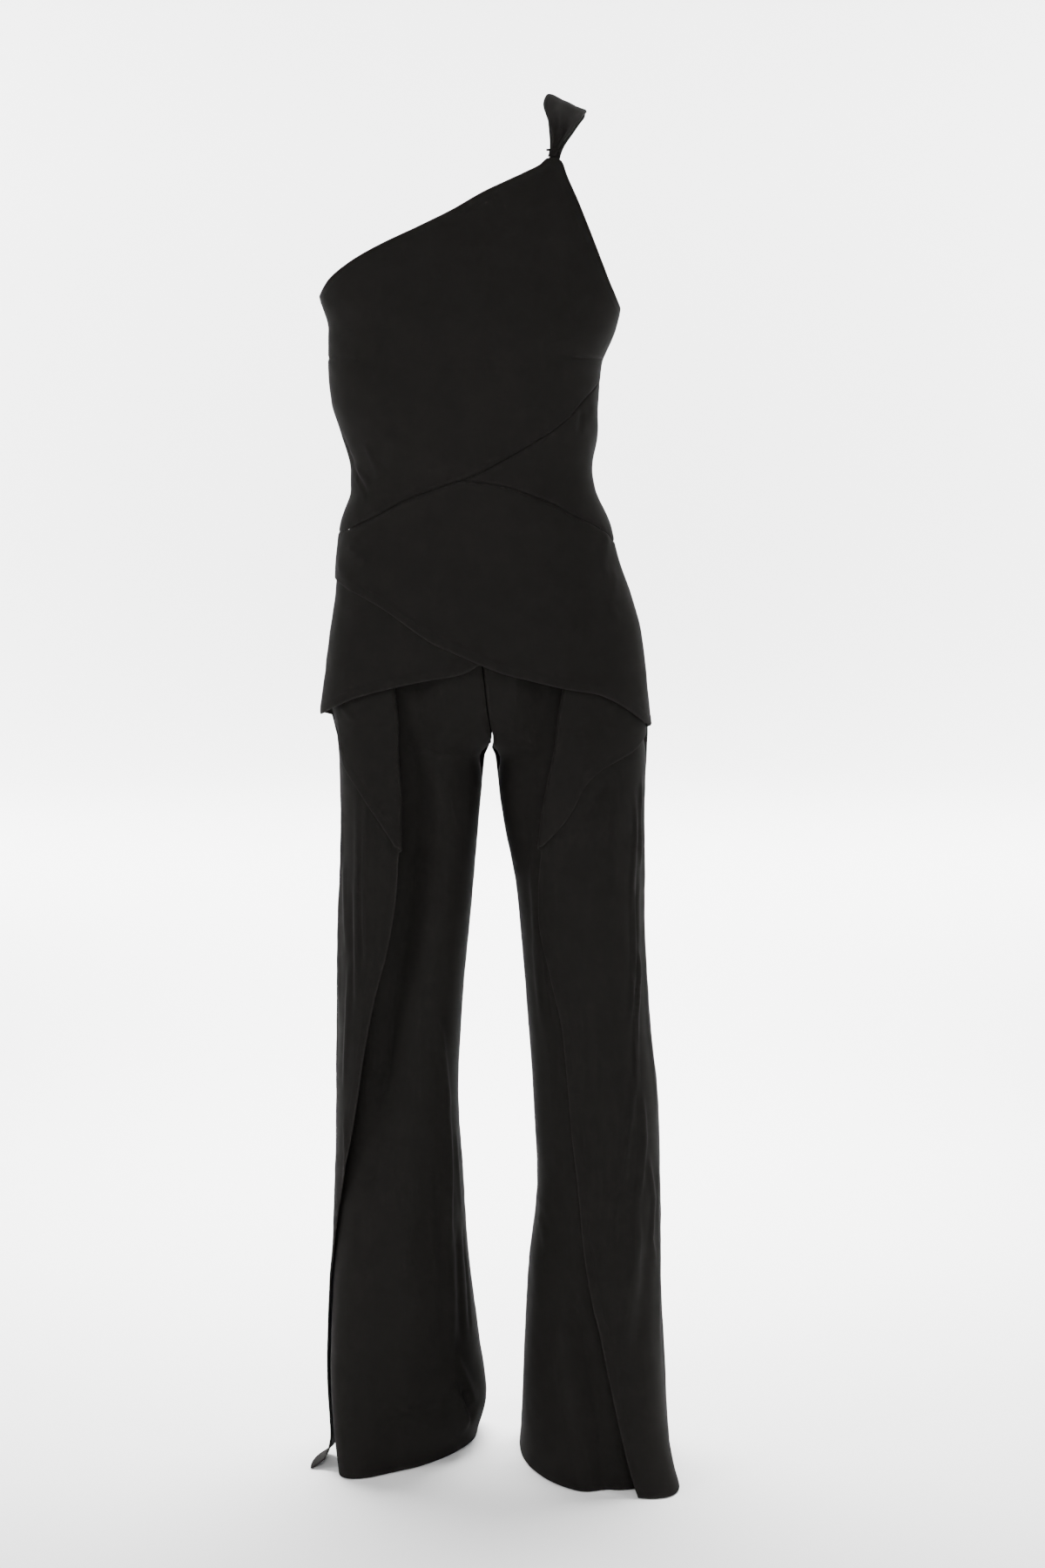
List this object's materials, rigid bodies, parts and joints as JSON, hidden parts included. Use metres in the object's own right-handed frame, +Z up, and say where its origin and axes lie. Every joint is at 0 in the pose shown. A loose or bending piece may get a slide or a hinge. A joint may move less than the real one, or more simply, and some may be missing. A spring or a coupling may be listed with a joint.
{
  "type": "one-shoulder jumpsuit with wrap overskirt",
  "caption": "One-shoulder jumpsuit with a gathered strap, a wrap overskirt that falls in folds down both sides, and long flared trousers; filled out as worn.",
  "frame": {"origin": "underside of the strap where it lies on the wearer's left shoulder", "axes": "+Z up, -Y the garment's front, +X the wearer's left"},
  "size_m": [0.3915, 0.2508, 1.4381],
  "materials": {
    "crepe": "black matte crepe",
    "zip_tape_cloth": "black woven tape",
    "zip_metal": "black lacquered"
  },
  "bodies": {
    "garment": {"bodice_front": "crepe", "bodice_midriff": "crepe", "bodice_back_left": "crepe", "bodice_back_right": "crepe", "strap": "crepe", "strap_loop": "crepe", "overskirt_over": "crepe", "overskirt_under": "crepe", "trouser_front_left": "crepe", "trouser_front_right": "crepe", "trouser_back_left": "crepe", "trouser_back_right": "crepe", "zip_tape": "zip_tape_cloth", "zip_slider": "zip_metal"},
    "zip_pull": {"zip_pull": "zip_metal"}
  },
  "joints": [
    {"name": "zip_pull_hinge", "type": "hinge", "parent": "garment", "child": "zip_pull", "pos_m": [-0.09824, 0.10424, -0.12798], "axis": [1, 0, 0], "range_deg": [0, 150]}
  ]
}
